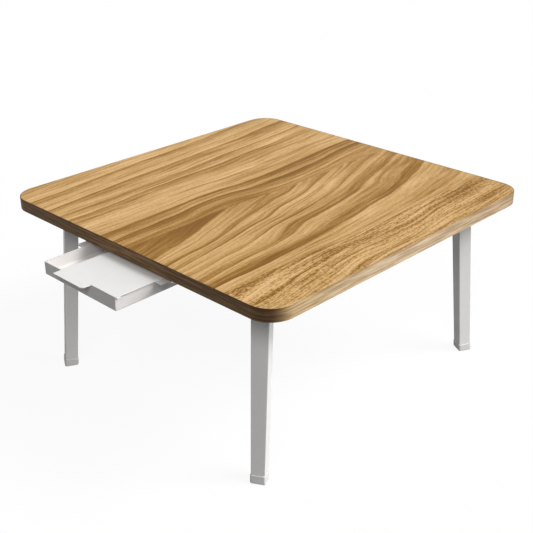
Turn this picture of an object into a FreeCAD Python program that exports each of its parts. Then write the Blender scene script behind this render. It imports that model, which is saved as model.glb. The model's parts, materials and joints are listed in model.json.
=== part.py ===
"""Portable low table: a square wood-grain top on four fold-in legs, with a shallow pencil drawer.

Units are millimetres and degrees. +Z is up, the origin is on the floor under the centre of the top,
and the drawer opens towards -Y. The rest pose has the legs open and the drawer pulled part way out.
"""
import FreeCAD
import Part
import math
import os

import Sketcher
from FreeCAD import Placement, Rotation, Vector

DIMENSIONS = {
    # Table top: a fibreboard core with a wood-grain laminate, a backing sheet and an edge band
    "table_length": 600.0,
    "table_depth": 600.0,
    "table_height": 315.0,
    "top_thickness": 20.0,
    "corner_radius": 40.0,
    "laminate_thickness": 0.8,
    "backing_thickness": 0.6,
    "band_thickness": 1.2,
    "band_edge_radius": 0.6,
    # Where each leg turns, measured in from the edges of the top and down from its underside
    "pivot_inset_x": 76.0,
    "pivot_inset_y": 60.0,
    "pivot_drop": 34.0,
    "leg_turn": 61.0,
    "leg_splay": 5.3,
    # Leg tube, tapered from its head to its foot
    "leg_rise": 14.0,
    "leg_top_width": 27.4,
    "leg_top_depth": 22.6,
    "leg_foot_width": 21.8,
    "leg_foot_depth": 21.4,
    "leg_wall": 1.0,
    "leg_inner_radius": 0.2,
    # Foot cap, a cup over the end of the tube
    "cap_wall": 1.0,
    "cap_grip": 9.0,
    "cap_floor": 4.5,
    "cap_edge_radius": 2.4,
    "cap_corner_extra": 0.6,
    "cap_rim_radius": 0.5,
    # Hinge bracket of pressed sheet: a base plate and a channel that the leg tube closes over
    "bracket_sheet": 2.0,
    "bracket_length": 66.0,
    "bracket_width": 40.0,
    "bracket_corner_radius": 6.0,
    "bend_radius": 1.6,
    "web_start": 4.0,
    "slot_margin": 3.0,
    # Hinge pin, knuckle and friction spring
    "pin_radius": 3.0,
    "pin_clearance": 0.05,
    "pin_head_radius": 5.0,
    "pin_head_height": 1.4,
    "knuckle_radius": 7.0,
    "knuckle_plug_start": 12.5,
    "knuckle_plug_length": 26.0,
    "spring_thickness": 0.8,
    "spring_width": 13.0,
    "spring_foot_start": 14.0,
    "spring_foot_length": 12.0,
    "spring_tail": 6.0,
    "spring_tail_rise": 2.7,
    # Wood screws
    "screw_radius": 1.75,
    "screw_length": 14.0,
    "screw_point": 3.0,
    "screw_head_radius": 3.8,
    "screw_head_height": 2.2,
    "screw_head_crown": 0.9,
    "screw_hole_radius": 2.1,
    "pilot_clearance": 0.05,
    "bracket_screw_margin": 8.0,
    # Drawer: a moulded tray on two rails, with a sliding lid over its wider compartment
    "drawer_width": 168.0,
    "drawer_depth": 200.0,
    "drawer_height": 21.4,
    "drawer_drop": 2.6,
    "drawer_open": 82.0,
    "drawer_wall": 2.0,
    "drawer_floor": 2.0,
    "drawer_edge_radius": 2.4,
    "drawer_inner_radius": 4.0,
    "pocket_corner_radius": 6.0,
    "pen_width": 43.0,
    "flange_width": 14.0,
    "flange_thickness": 2.0,
    "flange_setback": 69.0,
    "rail_sheet": 1.5,
    "rail_foot": 14.0,
    "rail_front_inset": 5.0,
    "rail_lip_gap": 1.5,
    "rail_screw_margin": 22.0,
    "lid_thickness": 1.4,
    "lid_length": 125.0,
    "lid_overhang": 2.5,
    "lid_ear_reach": 3.5,
    "lid_ear_length": 7.0,
    "tab_reach": 15.5,
    "tab_width": 69.5,
    "tab_radius": 6.0,
    "rib_height": 3.0,
    "rib_thickness": 1.5,
    "rib_gap": 0.5,
    "rib_end_inset": 10.0,
    # Clearances between pieces that move past each other, and between pieces that are seated
    "running_clearance": 0.3,
    "seat_clearance": 0.15,
}

SHEET = "dims"
CORNERS = {
    "front_left": (-1, -1),
    "front_right": (1, -1),
    "back_right": (1, 1),
    "back_left": (-1, 1),
}
RAIL_SCREWS = 3
# How near two lengths or volumes are that count as the same, and how straight an edge runs along an axis
SAME_LENGTH = 1e-4
SAME_VOLUME = 1e-3
SAME_DIRECTION = 0.999


class Size:
    """A size in the sheet, or one worked out from such sizes: its value with the formula that gives it."""

    def __init__(self, value, formula):
        self.value = value
        self.formula = formula

    def __add__(self, other):
        other = as_size(other)
        return Size(self.value + other.value, f"({self.formula} + {other.formula})")

    def __sub__(self, other):
        other = as_size(other)
        return Size(self.value - other.value, f"({self.formula} - {other.formula})")

    def __mul__(self, other):
        other = as_size(other)
        return Size(self.value * other.value, f"({self.formula} * {other.formula})")

    def __truediv__(self, other):
        other = as_size(other)
        return Size(self.value / other.value, f"({self.formula} / {other.formula})")

    def __neg__(self):
        return Size(-self.value, f"(-1 * {self.formula})")

    __rmul__ = __mul__


def as_size(number):
    """A plain number as a size, so that formulas can mix the two."""
    if isinstance(number, Size):
        return number
    return Size(float(number), f"({number})")


def make_sheet(doc):
    """The sheet of driving dimensions, and the same dimensions as sizes by name."""
    sheet = doc.addObject("Spreadsheet::Sheet", SHEET)
    for row, (alias, value) in enumerate(DIMENSIONS.items(), start=1):
        sheet.set(f"A{row}", alias)
        sheet.set(f"B{row}", str(value))
        sheet.setAlias(f"B{row}", alias)
    doc.recompute()
    return {alias: Size(value, f"{SHEET}.{alias}") for alias, value in DIMENSIONS.items()}


doc = FreeCAD.newDocument("low_table")
d = make_sheet(doc)
zero = as_size(0)

# Sizes that several pieces share
underside = d["table_height"] - d["top_thickness"]
pivot_x = d["table_length"] / 2 - d["pivot_inset_x"]
pivot_y = d["table_depth"] / 2 - d["pivot_inset_y"]
pivot_z = underside - d["pivot_drop"]
splay_angle = math.radians(DIMENSIONS["leg_splay"])
splay_cos = Size(math.cos(splay_angle), f"cos({SHEET}.leg_splay)")
splay_sin = Size(math.sin(splay_angle), f"sin({SHEET}.leg_splay)")
leg_reach = pivot_z / splay_cos
tube_end = leg_reach - d["cap_floor"]
tube_length = tube_end + d["leg_rise"]
leg_corner_radius = d["leg_inner_radius"] + d["leg_wall"]


def leg_width_at(down):
    """Outer width of the leg tube, across the hinge pin's length, at a distance below the pivot."""
    share = (down + d["leg_rise"]) / tube_length
    return d["leg_top_width"] - (d["leg_top_width"] - d["leg_foot_width"]) * share


def leg_depth_at(down):
    """Outer depth of the leg tube, the way it folds, at a distance below the pivot."""
    share = (down + d["leg_rise"]) / tube_length
    return d["leg_top_depth"] - (d["leg_top_depth"] - d["leg_foot_depth"]) * share


web_outer = leg_depth_at(zero) / 2 - d["leg_wall"] - d["running_clearance"]
web_inner = web_outer - d["bracket_sheet"]
ear_radius = web_outer
ear_span = leg_width_at(ear_radius) - d["leg_wall"] * 2 - d["running_clearance"] * 2
ear_inner_span = ear_span - d["bracket_sheet"] * 2
base_shift = -d["pivot_drop"] * splay_sin / splay_cos
drawer_front = -d["table_depth"] / 2 - d["drawer_open"]
rim_z = underside - d["drawer_drop"]
divider_x = -d["drawer_width"] / 2 + d["drawer_wall"] + d["pen_width"]


def bind(thing, **sizes):
    """Set properties of a document object and tie them to the sheet."""
    for name, size in sizes.items():
        setattr(thing, name, size.value)
        thing.setExpression(name, size.formula)


def new_body(label):
    """A body with the name of its piece."""
    body = doc.addObject("PartDesign::Body", label)
    body.Label = label
    return body


def place(thing, x, y, z, rotation=None):
    """Put a piece at a point that is tied to the sheet."""
    thing.Placement = Placement(Vector(x.value, y.value, z.value), rotation or Rotation())
    thing.setExpression("Placement.Base.x", x.formula)
    thing.setExpression("Placement.Base.y", y.formula)
    thing.setExpression("Placement.Base.z", z.formula)


def new_sketch(body, name, plane, lift=zero, shift_x=zero, shift_y=zero):
    """A sketch on one of the body's origin planes, shifted in that plane and lifted along its normal."""
    sketch = body.newObject("Sketcher::SketchObject", name)
    support = [part for part in body.Origin.OriginFeatures if part.Role == plane][0]
    sketch.AttachmentSupport = [(support, "")]
    sketch.MapMode = "FlatFace"
    sketch.AttachmentOffset = Placement(Vector(shift_x.value, shift_y.value, lift.value), Rotation())
    for axis, size in (("x", shift_x), ("y", shift_y), ("z", lift)):
        sketch.setExpression(f"AttachmentOffset.Base.{axis}", size.formula)
    return sketch


def pin_coordinate(sketch, kind, line, end, size):
    """Tie one coordinate of a point of a sketch to the sheet."""
    index = sketch.addConstraint(Sketcher.Constraint(kind, line, end, size.value))
    sketch.setExpression(f"Constraints[{index}]", size.formula)


def add_outline(sketch, points):
    """A closed outline of straight lines through points, each a pair of sizes."""
    first = sketch.GeometryCount
    places = [Vector(x.value, y.value, 0) for x, y in points]
    count = len(places)
    for index in range(count):
        sketch.addGeometry(Part.LineSegment(places[index], places[(index + 1) % count]), False)
    for index in range(count):
        following = first + (index + 1) % count
        sketch.addConstraint(Sketcher.Constraint("Coincident", first + index, 2, following, 1))
    for index, (x, y) in enumerate(points):
        pin_coordinate(sketch, "DistanceX", first + index, 1, x)
        pin_coordinate(sketch, "DistanceY", first + index, 1, y)


def add_circle(sketch, x, y, radius):
    """A circle about a point."""
    circle = Part.Circle(Vector(x.value, y.value, 0), Vector(0, 0, 1), radius.value)
    line = sketch.addGeometry(circle, False)
    pin_coordinate(sketch, "DistanceX", line, 3, x)
    pin_coordinate(sketch, "DistanceY", line, 3, y)
    index = sketch.addConstraint(Sketcher.Constraint("Radius", line, radius.value))
    sketch.setExpression(f"Constraints[{index}]", radius.formula)


def add_rounded_rectangle(sketch, length, depth, radius):
    """A rectangle with round corners about the sketch's origin: four sides, each with the arc after it."""
    half_l, half_d, r = length.value / 2, depth.value / 2, radius.value
    inner_l, inner_d = half_l - r, half_d - r
    sides = [
        ((-inner_l, -half_d), (inner_l, -half_d)),
        ((half_l, -inner_d), (half_l, inner_d)),
        ((inner_l, half_d), (-inner_l, half_d)),
        ((-half_l, inner_d), (-half_l, -inner_d)),
    ]
    centres = [(inner_l, -inner_d), (inner_l, inner_d), (-inner_l, inner_d), (-inner_l, -inner_d)]
    quarter = math.pi / 2
    lines = []
    arcs = []
    for index, (start, end) in enumerate(sides):
        lines.append(sketch.addGeometry(Part.LineSegment(Vector(*start, 0), Vector(*end, 0)), False))
        circle = Part.Circle(Vector(*centres[index], 0), Vector(0, 0, 1), r)
        turn = (index - 1) * quarter
        arcs.append(sketch.addGeometry(Part.ArcOfCircle(circle, turn, turn + quarter), False))
    for index in range(4):
        sketch.addConstraint(Sketcher.Constraint("Tangent", lines[index], 2, arcs[index], 1))
        sketch.addConstraint(Sketcher.Constraint("Tangent", arcs[index], 2, lines[(index + 1) % 4], 1))
        sketch.addConstraint(Sketcher.Constraint(("Horizontal", "Vertical")[index % 2], lines[index]))
    for arc in arcs[1:]:
        sketch.addConstraint(Sketcher.Constraint("Equal", arcs[0], arc))
    sketch.addConstraint(Sketcher.Constraint("Symmetric", lines[0], 1, lines[2], 1, -1, 1))
    for constraint, size in (
        (Sketcher.Constraint("DistanceX", lines[3], 1, lines[1], 1, length.value), length),
        (Sketcher.Constraint("DistanceY", lines[0], 1, lines[2], 1, depth.value), depth),
        (Sketcher.Constraint("Radius", arcs[0], radius.value), radius),
    ):
        index = sketch.addConstraint(constraint)
        sketch.setExpression(f"Constraints[{index}]", size.formula)


def pad(body, sketch, length, both_ways=False, downwards=False):
    """Pad a sketch by a length, along its normal, against it or half each way."""
    feature = body.newObject("PartDesign::Pad", sketch.Name + "_pad")
    feature.Profile = sketch
    feature.Midplane = both_ways
    feature.Reversed = downwards
    bind(feature, Length=length)
    return feature


def pocket(body, sketch, length, both_ways=False, forwards=False):
    """Cut a sketch out of a body by a length, against its normal, along it or half each way."""
    feature = body.newObject("PartDesign::Pocket", sketch.Name + "_pocket")
    feature.Profile = sketch
    feature.Midplane = both_ways
    feature.Reversed = forwards
    bind(feature, Length=length)
    return feature


def fillet(body, base, edges, radius):
    """Round the edges of a feature that a test picks out."""
    doc.recompute()
    names = [f"Edge{number}" for number, edge in enumerate(base.Shape.Edges, start=1) if edges(edge)]
    feature = body.newObject("PartDesign::Fillet", base.Name + "_fillet")
    feature.Base = (base, names)
    bind(feature, Radius=radius)
    return feature


def along(edge, axis):
    """Is an edge straight and along an axis?"""
    if edge.Curve.TypeId != "Part::GeomLine":
        return False
    return abs(edge.tangentAt(edge.FirstParameter).dot(axis)) > SAME_DIRECTION


def at_height(edge, height):
    """Does the whole of an edge lie at a height?"""
    box = edge.BoundBox
    return abs(box.ZMin - height) < SAME_LENGTH and abs(box.ZMax - height) < SAME_LENGTH


def check_cut(body, before):
    """Stop if a cut took nothing off a body."""
    doc.recompute()
    if body.Shape.Volume > before - SAME_VOLUME:
        raise RuntimeError(f"a cut in {body.Label} removed nothing")


def slab(label, inset, thickness, base_z):
    """A flat sheet of the table top's outline, set in from it by the same amount all round."""
    body = new_body(label)
    sketch = new_sketch(body, label + "_outline", "XY_Plane")
    length = d["table_length"] - inset * 2
    depth = d["table_depth"] - inset * 2
    add_rounded_rectangle(sketch, length, depth, d["corner_radius"] - inset)
    pad(body, sketch, thickness)
    place(body, zero, zero, base_z)
    return body


def edge_band(label):
    """The strip glued round the edge of the top, with its outer corners broken."""
    body = new_body(label)
    sketch = new_sketch(body, label + "_outline", "XY_Plane")
    band = d["band_thickness"]
    add_rounded_rectangle(sketch, d["table_length"], d["table_depth"], d["corner_radius"])
    add_rounded_rectangle(
        sketch, d["table_length"] - band * 2, d["table_depth"] - band * 2, d["corner_radius"] - band
    )
    strip = pad(body, sketch, d["top_thickness"])
    reach_x = d["table_length"].value / 2 - band.value
    reach_y = d["table_depth"].value / 2 - band.value

    def outer_rim(edge):
        level = at_height(edge, 0) or at_height(edge, d["top_thickness"].value)
        if edge.Curve.TypeId == "Part::GeomCircle":
            return level and edge.Curve.Radius > d["corner_radius"].value - band.value / 2
        middle = edge.CenterOfMass
        outside = abs(middle.x) > reach_x + band.value / 2 or abs(middle.y) > reach_y + band.value / 2
        return level and outside

    fillet(body, strip, outer_rim, d["band_edge_radius"])
    place(body, zero, zero, underside)
    return body


def drilled(label, sheet, holes):
    """A sheet of the top with the pilot holes of the screws drilled in it."""
    cut = doc.addObject("Part::Cut", label)
    cut.Label = label
    cut.Base = sheet
    cut.Tool = holes
    return cut


def heading(corner):
    """The way a leg leans, as an angle about +Z from +X."""
    side_x, side_y = CORNERS[corner]
    turn = math.radians(DIMENSIONS["leg_turn"])
    return math.degrees(math.atan2(side_y * math.sin(turn), side_x * math.cos(turn)))


def place_at_pivot(piece, corner, leaning):
    """Put a piece of a hinge or a leg at its pivot, upright or leaning out with the leg."""
    side_x, side_y = CORNERS[corner]
    rotation = Rotation(Vector(0, 0, 1), heading(corner))
    if leaning:
        rotation = rotation * Rotation(Vector(0, 1, 0), -DIMENSIONS["leg_splay"])
    place(piece, pivot_x * side_x, pivot_y * side_y, pivot_z, rotation)


def lean(across, up):
    """A point given across and up the leaning leg, in the upright axes of its pivot."""
    return across * splay_cos - up * splay_sin, across * splay_sin + up * splay_cos


def lean_to_height(across, height):
    """The point where a line up the leaning leg comes to a height above the pivot."""
    return lean(across, (height - across * splay_sin) / splay_cos)


def leg_bracket(corner):
    """Pressed bracket: a screwed base plate, and a channel whose web stops the leg at its open angle."""
    label = f"leg_bracket_{corner}"
    body = new_body(label)
    sheet = d["bracket_sheet"]
    radius = ear_radius
    base_under = d["pivot_drop"] - sheet
    base = new_sketch(body, label + "_base", "XY_Plane", base_under, base_shift)
    add_rounded_rectangle(base, d["bracket_width"], d["bracket_length"], d["bracket_corner_radius"])
    pad(body, base, sheet)

    root = d["pivot_drop"] - sheet / 2
    ears = new_sketch(body, label + "_ears", "XZ_Plane")
    add_outline(ears, [
        lean(-radius, zero),
        lean(radius, zero),
        lean_to_height(radius, root),
        lean_to_height(-radius, root),
    ])
    pad(body, ears, ear_span, both_ways=True)
    ear_ends = new_sketch(body, label + "_ear_ends", "XZ_Plane")
    add_circle(ear_ends, zero, zero, radius)
    block = pad(body, ear_ends, ear_span, both_ways=True)

    def ear_rim(edge):
        box = edge.BoundBox
        upright = box.YMax - box.YMin < SAME_LENGTH
        on_side = abs(abs(box.YMin) - ear_span.value / 2) < SAME_LENGTH
        return upright and on_side and not at_height(edge, base_under.value)

    fillet(body, block, ear_rim, d["bend_radius"])
    doc.recompute()
    before = body.Shape.Volume
    beyond = radius * 2
    channel = new_sketch(body, label + "_channel", "XZ_Plane")
    add_outline(channel, [
        lean(-beyond, -beyond),
        lean(beyond, -beyond),
        lean(beyond, d["web_start"]),
        lean(web_inner, d["web_start"]),
        lean_to_height(web_inner, base_under),
        lean_to_height(-beyond, base_under),
    ])
    pocket(body, channel, ear_inner_span, both_ways=True)
    check_cut(body, before)

    before = body.Shape.Volume
    bore = new_sketch(body, label + "_bore", "XZ_Plane")
    add_circle(bore, zero, zero, d["pin_radius"] + d["pin_clearance"])
    pocket(body, bore, ear_span * 2, both_ways=True)
    check_cut(body, before)

    before = body.Shape.Volume
    holes = new_sketch(body, label + "_screw_holes", "XY_Plane", d["pivot_drop"])
    for x, y in bracket_screw_points():
        add_circle(holes, x, y, d["screw_hole_radius"])
    pocket(body, holes, sheet * 2)
    check_cut(body, before)
    place_at_pivot(body, corner, leaning=False)
    return body


def bracket_screw_points():
    """The four screws of a bracket, across and along its base plate from the pivot."""
    reach_x = d["bracket_width"] / 2 - d["bracket_screw_margin"]
    reach_y = d["bracket_length"] / 2 - d["bracket_screw_margin"]
    return [(base_shift + reach_x * sx, reach_y * sy) for sx in (-1, 1) for sy in (-1, 1)]


def leaf_spring(corner):
    """Friction spring: a bent strip on the web, whose free end bears on the knuckle's round head."""
    label = f"leaf_spring_{corner}"
    body = new_body(label)
    thick = d["spring_thickness"]
    start = d["spring_foot_start"]
    top = start + d["spring_foot_length"]
    contact = d["knuckle_radius"] + d["running_clearance"]
    tail_up = contact + d["spring_tail_rise"]
    outline = new_sketch(body, label + "_outline", "XZ_Plane")
    add_outline(outline, [
        lean(web_inner, top),
        lean(web_inner, start),
        lean(zero, contact),
        lean(-d["spring_tail"], tail_up),
        lean(-d["spring_tail"], tail_up + thick),
        lean(zero, contact + thick),
        lean(web_inner - thick, start + thick / 2),
        lean(web_inner - thick, top),
    ])
    pad(body, outline, d["spring_width"], both_ways=True)
    place_at_pivot(body, corner, leaning=False)
    return body


def hinge_pin(corner):
    """Headed pin through the leg tube, the bracket's ears and the knuckle."""
    label = f"hinge_pin_{corner}"
    body = new_body(label)
    half = leg_width_at(zero) / 2 + d["running_clearance"]
    end = half + d["pin_head_height"]
    shank = d["pin_radius"]
    head = d["pin_head_radius"]
    profile = new_sketch(body, label + "_profile", "XY_Plane")
    add_outline(profile, [
        (zero, -end),
        (head - d["pin_head_height"] / 2, -end),
        (head, -half),
        (shank, -half),
        (shank, half),
        (head, half),
        (head - d["pin_head_height"] / 2, end),
        (zero, end),
    ])
    turned = body.newObject("PartDesign::Revolution", label + "_turned")
    turned.Profile = profile
    turned.ReferenceAxis = (profile, ["V_Axis"])
    turned.Angle = 360
    place_at_pivot(body, corner, leaning=True)
    return body


def leg_knuckle(corner):
    """Moulded plug in the head of the leg tube, with a round head on the pin between the bracket's ears."""
    label = f"leg_knuckle_{corner}"
    body = new_body(label)
    start = d["knuckle_plug_start"]
    end = start + d["knuckle_plug_length"]
    slack = d["leg_wall"] * 2 + d["seat_clearance"] * 2
    plug = new_sketch(body, label + "_plug", "XY_Plane", -start)
    add_rounded_rectangle(
        plug, leg_depth_at(end) - slack, leg_width_at(end) - slack, d["leg_inner_radius"]
    )
    pad(body, plug, d["knuckle_plug_length"], downwards=True)
    radius = d["knuckle_radius"]
    neck_width = ear_inner_span - d["running_clearance"] * 2
    neck = new_sketch(body, label + "_neck", "XZ_Plane")
    neck_root = -(start + d["knuckle_plug_length"] / 4)
    add_outline(neck, [(-radius, neck_root), (radius, neck_root), (radius, zero), (-radius, zero)])
    pad(body, neck, neck_width, both_ways=True)
    head = new_sketch(body, label + "_head", "XZ_Plane")
    add_circle(head, zero, zero, radius)
    pad(body, head, neck_width, both_ways=True)
    doc.recompute()
    before = body.Shape.Volume
    bore = new_sketch(body, label + "_bore", "XZ_Plane")
    add_circle(bore, zero, zero, d["pin_radius"] + d["pin_clearance"])
    pocket(body, bore, neck_width * 2, both_ways=True)
    check_cut(body, before)
    place_at_pivot(body, corner, leaning=True)
    return body


def leg_tube(corner):
    """Tapered rectangular tube, open on its inner side at the head so that it folds past the bracket."""
    label = f"leg_tube_{corner}"
    body = new_body(label)
    wall = d["leg_wall"]

    def section(name, lift, depth, width, inset):
        sketch = new_sketch(body, f"{label}_{name}", "XY_Plane", lift)
        add_rounded_rectangle(sketch, depth - inset * 2, width - inset * 2, leg_corner_radius - inset)
        return sketch

    def loft(kind, name, inset):
        feature = body.newObject(f"PartDesign::{kind}", f"{label}_{name}")
        head = section(name + "_head", d["leg_rise"], d["leg_top_depth"], d["leg_top_width"], inset)
        foot = section(name + "_foot", -tube_end, d["leg_foot_depth"], d["leg_foot_width"], inset)
        feature.Profile = head
        feature.Sections = [foot]
        feature.Ruled = True
        return feature

    loft("AdditiveLoft", "outside", zero)
    doc.recompute()
    before = body.Shape.Volume
    loft("SubtractiveLoft", "inside", wall)
    check_cut(body, before)

    before = body.Shape.Volume
    slot_half = ear_span / 2 + d["running_clearance"] / 2
    slot_foot = -(ear_radius + d["slot_margin"])
    slot_top = d["leg_rise"] * 2
    slot = new_sketch(body, label + "_slot", "YZ_Plane")
    add_outline(slot, [
        (-slot_half, slot_foot),
        (slot_half, slot_foot),
        (slot_half, slot_top),
        (-slot_half, slot_top),
    ])
    pocket(body, slot, d["leg_top_depth"])
    check_cut(body, before)

    before = body.Shape.Volume
    bore = new_sketch(body, label + "_bore", "XZ_Plane")
    add_circle(bore, zero, zero, d["pin_radius"] + d["pin_clearance"])
    pocket(body, bore, d["leg_top_width"] * 2, both_ways=True)
    check_cut(body, before)
    place_at_pivot(body, corner, leaning=True)
    return body


def foot_cap(corner):
    """Plastic cup on the foot of a leg, cut level with the floor and rounded underneath."""
    label = f"foot_cap_{corner}"
    body = new_body(label)
    mouth = -(tube_end - d["cap_grip"])
    socket_depth = leg_depth_at(-mouth) + d["seat_clearance"] * 2
    socket_width = leg_width_at(-mouth) + d["seat_clearance"] * 2
    socket_radius = leg_corner_radius + d["seat_clearance"]
    upright_radius = d["cap_edge_radius"] + d["cap_corner_extra"]
    wall = d["cap_wall"]
    outline = new_sketch(body, label + "_outline", "XY_Plane", mouth)
    add_rounded_rectangle(outline, socket_depth + wall * 2, socket_width + wall * 2, upright_radius)
    pad(body, outline, d["cap_grip"] + d["cap_floor"] * 2, downwards=True)

    doc.recompute()
    before = body.Shape.Volume
    across = d["leg_top_depth"]
    slope = splay_sin / splay_cos
    below = -leg_reach - d["cap_floor"] * 3
    floor = new_sketch(body, label + "_floor", "XZ_Plane")
    add_outline(floor, [
        (-across, -leg_reach + across * slope),
        (across, -leg_reach - across * slope),
        (across, below),
        (-across, below),
    ])
    level = pocket(body, floor, d["leg_top_width"] * 4, both_ways=True)
    check_cut(body, before)

    def on_floor(edge):
        heights = [v.X * splay_sin.value + v.Z * splay_cos.value for v in edge.Vertexes]
        return all(abs(height + pivot_z.value) < SAME_LENGTH for height in heights)

    rounded = fillet(body, level, on_floor, d["cap_edge_radius"])
    rim = fillet(body, rounded, lambda edge: at_height(edge, mouth.value), d["cap_rim_radius"])
    doc.recompute()
    before = rim.Shape.Volume
    socket = new_sketch(body, label + "_socket", "XY_Plane", mouth)
    add_rounded_rectangle(socket, socket_depth, socket_width, socket_radius)
    pocket(body, socket, d["cap_grip"])
    check_cut(body, before)
    place_at_pivot(body, corner, leaning=True)
    return body


rail_web_inner = d["drawer_width"] / 2 + d["flange_width"] + d["running_clearance"]
rail_web_outer = rail_web_inner + d["rail_sheet"]
rail_front = -d["table_depth"] / 2 + d["rail_front_inset"]
rail_length = d["drawer_depth"] - d["rail_front_inset"] + d["running_clearance"] + d["rail_sheet"]


def rail_screw_points():
    """The screws of a rail, out from the middle of the drawer and back from the rail's front end."""
    step = (rail_length - d["rail_screw_margin"] * 2) / (RAIL_SCREWS - 1)
    out = rail_web_outer + d["rail_foot"] / 2
    return [(out, d["rail_screw_margin"] + step * index) for index in range(RAIL_SCREWS)]


def drawer_rail(label, side):
    """Folded rail under the top: a screwed foot, a web, a lip for the drawer's flange and a back stop."""
    body = new_body(label)
    sheet = d["rail_sheet"]
    lip_top = d["drawer_drop"] + d["flange_thickness"] + d["running_clearance"]
    lip_under = lip_top + sheet
    lip_inner = d["drawer_width"] / 2 + d["rail_lip_gap"]
    foot_outer = rail_web_outer + d["rail_foot"]
    section = new_sketch(body, label + "_section", "XZ_Plane")
    add_outline(section, [
        (rail_web_inner * side, zero),
        (foot_outer * side, zero),
        (foot_outer * side, -sheet),
        (rail_web_outer * side, -sheet),
        (rail_web_outer * side, -lip_under),
        (lip_inner * side, -lip_under),
        (lip_inner * side, -lip_top),
        (rail_web_inner * side, -lip_top),
    ])
    pad(body, section, rail_length, downwards=True)
    stop = new_sketch(body, label + "_stop", "XZ_Plane", sheet - rail_length)
    add_outline(stop, [
        (rail_web_outer * side, -lip_under),
        (lip_inner * side, -lip_under),
        (lip_inner * side, -d["drawer_drop"]),
        (rail_web_outer * side, -d["drawer_drop"]),
    ])
    pad(body, stop, sheet, downwards=True)
    doc.recompute()
    before = body.Shape.Volume
    holes = new_sketch(body, label + "_screw_holes", "XY_Plane")
    for x, y in rail_screw_points():
        add_circle(holes, x * side, y, d["screw_hole_radius"])
    pocket(body, holes, sheet * 4, both_ways=True)
    check_cut(body, before)
    place(body, zero, rail_front, underside)
    return body


def box_outline(sketch, low_x, high_x, low_y, high_y):
    """A rectangle between two pairs of lines."""
    add_outline(sketch, [(low_x, low_y), (high_x, low_y), (high_x, high_y), (low_x, high_y)])


def drawer_tray(label):
    """Moulded tray with a pen compartment, a wider compartment and a flange along each side."""
    body = new_body(label)
    wall = d["drawer_wall"]
    half = d["drawer_width"] / 2
    outline = new_sketch(body, label + "_outline", "XY_Plane")
    box_outline(outline, -half, half, zero, d["drawer_depth"])
    block = pad(body, outline, d["drawer_height"])
    upright = fillet(body, block, lambda edge: along(edge, Vector(0, 0, 1)), d["drawer_edge_radius"] / 2)
    fillet(body, upright, lambda edge: at_height(edge, 0), d["drawer_edge_radius"])

    flanges = new_sketch(body, label + "_flanges", "XY_Plane", d["drawer_height"] - d["flange_thickness"])
    reach = half + d["flange_width"]
    for side in (-1, 1):
        inner = (half - wall / 2) * side
        box_outline(flanges, inner, reach * side, d["flange_setback"], d["drawer_depth"])
    pad(body, flanges, d["flange_thickness"])

    def compartment(name, low_x, high_x):
        doc.recompute()
        before = body.Shape.Volume
        middle_x = (low_x + high_x) / 2
        middle_y = d["drawer_depth"] / 2
        rim = d["drawer_height"]
        sketch = new_sketch(body, f"{label}_{name}", "XY_Plane", rim, middle_x, middle_y)
        length = high_x - low_x
        depth = d["drawer_depth"] - wall * 2
        add_rounded_rectangle(sketch, length, depth, d["pocket_corner_radius"])
        cut = pocket(body, sketch, d["drawer_height"] - d["drawer_floor"])
        check_cut(body, before)
        return cut

    compartment("pen_space", -half + wall, divider_x)
    hollow = compartment("lidded_space", divider_x + wall, half - wall)
    floor_z = d["drawer_floor"].value
    fillet(body, hollow, lambda edge: at_height(edge, floor_z), d["drawer_inner_radius"])
    place(body, zero, drawer_front, rim_z - d["drawer_height"])
    return body


def drawer_lid(label):
    """Flat lid over the wider compartment, with a finger tab past the front and two guide ribs below."""
    body = new_body(label)
    half = d["drawer_width"] / 2
    right = half + d["lid_overhang"]
    ear = right + d["lid_ear_reach"]
    tab_right = divider_x + d["tab_width"]
    outline = new_sketch(body, label + "_outline", "XY_Plane")
    add_outline(outline, [
        (divider_x, -d["tab_reach"]),
        (tab_right, -d["tab_reach"]),
        (tab_right, zero),
        (ear, zero),
        (ear, d["lid_ear_length"]),
        (right, d["lid_ear_length"]),
        (right, d["lid_length"]),
        (divider_x, d["lid_length"]),
    ])
    plate = pad(body, outline, d["lid_thickness"])

    def tab_corner(edge):
        spot = edge.CenterOfMass
        near_x = abs(spot.x - tab_right.value) < SAME_LENGTH
        near_y = abs(spot.y + d["tab_reach"].value) < SAME_LENGTH
        return near_x and near_y and along(edge, Vector(0, 0, 1))

    fillet(body, plate, tab_corner, d["tab_radius"])
    ribs = new_sketch(body, label + "_ribs", "XY_Plane")
    start = d["drawer_wall"] + d["pocket_corner_radius"] + d["rib_gap"]
    end = d["lid_length"] - d["rib_end_inset"]
    left_rib = divider_x + d["drawer_wall"] + d["rib_gap"]
    right_rib = half - d["drawer_wall"] - d["rib_gap"] - d["rib_thickness"]
    for rib in (left_rib, right_rib):
        box_outline(ribs, rib, rib + d["rib_thickness"], start, end)
    pad(body, ribs, d["rib_height"], downwards=True)
    place(body, zero, drawer_front, rim_z + d["seat_clearance"])
    return body


def screw_blank():
    """One pan-head wood screw, point up, with the seat of its head at the origin."""
    body = new_body("screw_blank")
    head = d["screw_head_radius"]
    height = d["screw_head_height"]
    crown = d["screw_head_crown"]
    shank = d["screw_radius"]
    profile = new_sketch(body, "screw_profile", "XZ_Plane")
    add_outline(profile, [
        (zero, -height),
        (head - crown, -height),
        (head, crown - height),
        (head, zero),
        (shank, zero),
        (shank, d["screw_length"] - d["screw_point"]),
        (zero, d["screw_length"]),
    ])
    turned = body.newObject("PartDesign::Revolution", "screw_turned")
    turned.Profile = profile
    turned.ReferenceAxis = (profile, ["V_Axis"])
    turned.Angle = 360
    doc.recompute()
    return body


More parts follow.
